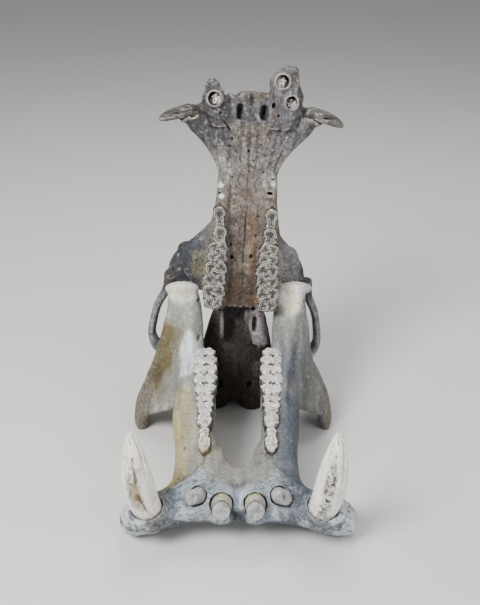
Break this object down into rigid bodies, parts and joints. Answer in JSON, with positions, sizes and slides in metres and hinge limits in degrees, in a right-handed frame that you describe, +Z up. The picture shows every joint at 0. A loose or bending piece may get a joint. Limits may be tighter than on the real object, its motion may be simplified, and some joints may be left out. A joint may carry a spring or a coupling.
{
  "type": "hippopotamus skull",
  "caption": "Weathered hippopotamus skull shown in two pieces: the cranium upright on its occiput with the palate forward, the lower jaw before it, teeth and tusks up.",
  "frame": {"origin": "middle of the footprint's bounding box, on the floor", "axes": "+Z up; -Y is where the palate and the lower jaw's chin face; +X is the animal's left for both bones"},
  "size_m": [0.4184, 0.6239, 0.7072],
  "materials": {
    "cranium_bone": "matte, weathered",
    "upper_ivory": "satin, grooved",
    "jaw_bone": "matte, weathered",
    "tusk_ivory": "satin",
    "incisor_dentine": "matte, worn"
  },
  "bodies": {
    "root": {"premaxilla_left": "cranium_bone", "premaxilla_right": "cranium_bone", "maxilla_left": "cranium_bone", "maxilla_right": "cranium_bone", "zygomatic_left": "cranium_bone", "zygomatic_right": "cranium_bone", "frontal_roof": "cranium_bone", "braincase": "cranium_bone", "upper_canine_left": "upper_ivory", "upper_canine_right": "upper_ivory", "dentary_left": "jaw_bone", "dentary_right": "jaw_bone", "lower_canine_left": "tusk_ivory", "lower_canine_right": "tusk_ivory", "lower_incisor_1_left": "incisor_dentine", "lower_incisor_1_right": "incisor_dentine", "lower_incisor_2_left": "incisor_dentine", "lower_incisor_2_right": "incisor_dentine"}
  },
  "joints": []
}
